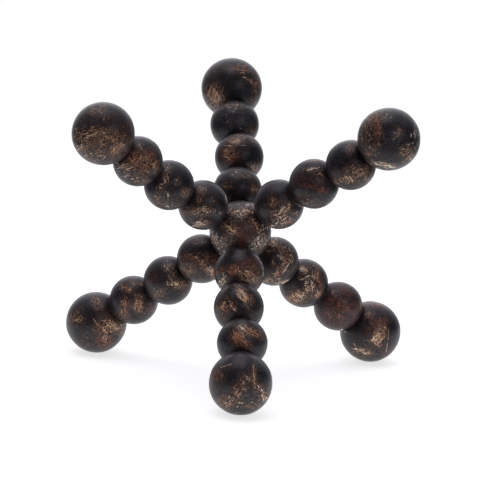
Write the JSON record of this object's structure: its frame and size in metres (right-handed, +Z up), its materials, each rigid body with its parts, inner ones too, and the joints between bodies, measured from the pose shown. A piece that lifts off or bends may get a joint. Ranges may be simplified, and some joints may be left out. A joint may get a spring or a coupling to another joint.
{
  "type": "decorative ball jack",
  "caption": "Six-armed jack of wooden balls in rubbed black paint, a table ornament that stands on the end balls of its lower arms.",
  "frame": {"origin": "on the surface the jack stands on, below the centre of its bounding box", "axes": "+Z up, -Y towards the front foot, +X to the right as seen from the front"},
  "size_m": [0.2252, 0.2478, 0.1908],
  "materials": {
    "rubbed_paint": "satin black paint over dark red-brown, rubbed through in patches to copper and tan strokes"
  },
  "bodies": {
    "root": {"core_ball": "rubbed_paint", "upper_left_bead_1": "rubbed_paint", "upper_left_bead_2": "rubbed_paint", "upper_left_bead_3": "rubbed_paint", "upper_left_end_ball": "rubbed_paint", "upper_right_bead_1": "rubbed_paint", "upper_right_bead_2": "rubbed_paint", "upper_right_bead_3": "rubbed_paint", "upper_right_end_ball": "rubbed_paint", "upper_back_bead_1": "rubbed_paint", "upper_back_bead_2": "rubbed_paint", "upper_back_bead_3": "rubbed_paint", "upper_back_end_ball": "rubbed_paint", "foot_left_bead_1": "rubbed_paint", "foot_left_bead_2": "rubbed_paint", "foot_left_bead_3": "rubbed_paint", "foot_left_end_ball": "rubbed_paint", "foot_right_bead_1": "rubbed_paint", "foot_right_bead_2": "rubbed_paint", "foot_right_bead_3": "rubbed_paint", "foot_right_end_ball": "rubbed_paint", "foot_front_bead_1": "rubbed_paint", "foot_front_bead_2": "rubbed_paint", "foot_front_bead_3": "rubbed_paint", "foot_front_end_ball": "rubbed_paint"}
  },
  "joints": []
}
